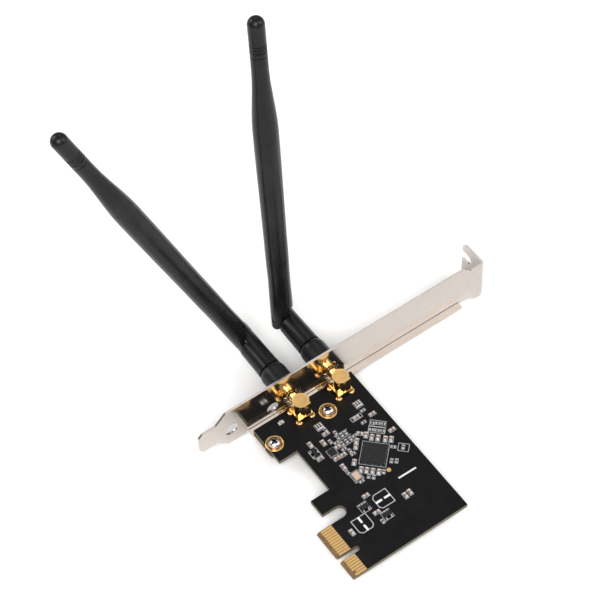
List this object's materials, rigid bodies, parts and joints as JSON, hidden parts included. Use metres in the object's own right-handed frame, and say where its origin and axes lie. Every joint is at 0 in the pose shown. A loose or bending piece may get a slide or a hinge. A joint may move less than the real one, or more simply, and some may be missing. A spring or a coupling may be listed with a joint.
{
  "type": "wireless network card",
  "caption": "Short expansion card with a full height slot bracket and folding whip antennas on gold coaxial connectors.",
  "frame": {"origin": "on the outer face of the bracket, level with the edge of the gold fingers and with the component side of the board", "axes": "-X out of the bracket's outer face, +Y up the bracket to its bent tab, +Z out of the component side"},
  "size_m": [0.1266, 0.1282, 0.1296],
  "materials": {
    "solder_mask": "satin black solder mask on glass-fibre laminate",
    "gold": "thin gold plating",
    "nickel_sheet": "bright nickel-plated sheet steel",
    "screw": "nickel-plated steel",
    "chip": "matt moulded epoxy",
    "crystal_can": "plated metal lid",
    "ceramic": "fired ceramic with tinned ends",
    "resistor": "glazed black with tinned ends",
    "led": "clear resin",
    "solder": "bright solder",
    "ptfe": "smooth white",
    "antenna_plastic": "satin moulded black",
    "nut_metal": "satin black coat",
    "coax_jacket": "matt jacket"
  },
  "bodies": {
    "card": {"pcb": "solder_mask", "contacts_front": "gold", "contacts_back": "gold", "ground_rings": "gold", "bracket": "nickel_sheet", "bracket_screws": "screw", "radio_chip": "chip", "power_chips": "chip", "crystal": "crystal_can", "capacitors": "ceramic", "resistors": "resistor", "spare_pads": "solder", "status_led": "led", "test_pad": "gold", "solder_joints": "solder", "jack1_body": "gold", "jack1_cap": "gold", "jack1_barrel": "gold", "jack1_insulator": "ptfe", "jack1_contact": "gold", "jack2_body": "gold", "jack2_cap": "gold", "jack2_barrel": "gold", "jack2_insulator": "ptfe", "jack2_contact": "gold"},
    "ant1_nut_body": {"ant1_nut": "nut_metal"},
    "ant1_swivel_body": {"ant1_ferrule": "gold", "ant1_plug_insulator": "ptfe", "ant1_plug_contact": "gold", "ant1_swivel": "antenna_plastic", "ant1_hinge_pin": "nut_metal"},
    "ant1_blade_body": {"ant1_blade": "antenna_plastic", "ant1_tip": "antenna_plastic", "ant1_radiator": "gold", "ant1_coax": "coax_jacket"},
    "ant2_nut_body": {"ant2_nut": "nut_metal"},
    "ant2_swivel_body": {"ant2_ferrule": "gold", "ant2_plug_insulator": "ptfe", "ant2_plug_contact": "gold", "ant2_swivel": "antenna_plastic", "ant2_hinge_pin": "nut_metal"},
    "ant2_blade_body": {"ant2_blade": "antenna_plastic", "ant2_tip": "antenna_plastic", "ant2_radiator": "gold", "ant2_coax": "coax_jacket"}
  },
  "joints": [
    {"name": "ant1_nut_spin", "type": "hinge", "parent": "card", "child": "ant1_nut_body", "pos_m": [-0.006, 0.0228, 0.00475], "axis": [1, 0, 0], "continuous": true},
    {"name": "ant1_turn", "type": "hinge", "parent": "card", "child": "ant1_swivel_body", "pos_m": [-0.0115, 0.0228, 0.00475], "axis": [1, 0, 0], "range_deg": [-30, 205]},
    {"name": "ant1_bend", "type": "hinge", "parent": "ant1_swivel_body", "child": "ant1_blade_body", "pos_m": [-0.0278, 0.0228, 0.00475], "axis": [0, 0.9323, 0.3616], "range_deg": [-76.6, 13.4]},
    {"name": "ant2_nut_spin", "type": "hinge", "parent": "card", "child": "ant2_nut_body", "pos_m": [-0.006, 0.03935, 0.00475], "axis": [1, 0, 0], "continuous": true},
    {"name": "ant2_turn", "type": "hinge", "parent": "card", "child": "ant2_swivel_body", "pos_m": [-0.0115, 0.03935, 0.00475], "axis": [1, 0, 0], "range_deg": [-205, 30]},
    {"name": "ant2_bend", "type": "hinge", "parent": "ant2_swivel_body", "child": "ant2_blade_body", "pos_m": [-0.0278, 0.03935, 0.00475], "axis": [0, 0.994, -0.1097], "range_deg": [-77.6, 12.4]}
  ]
}
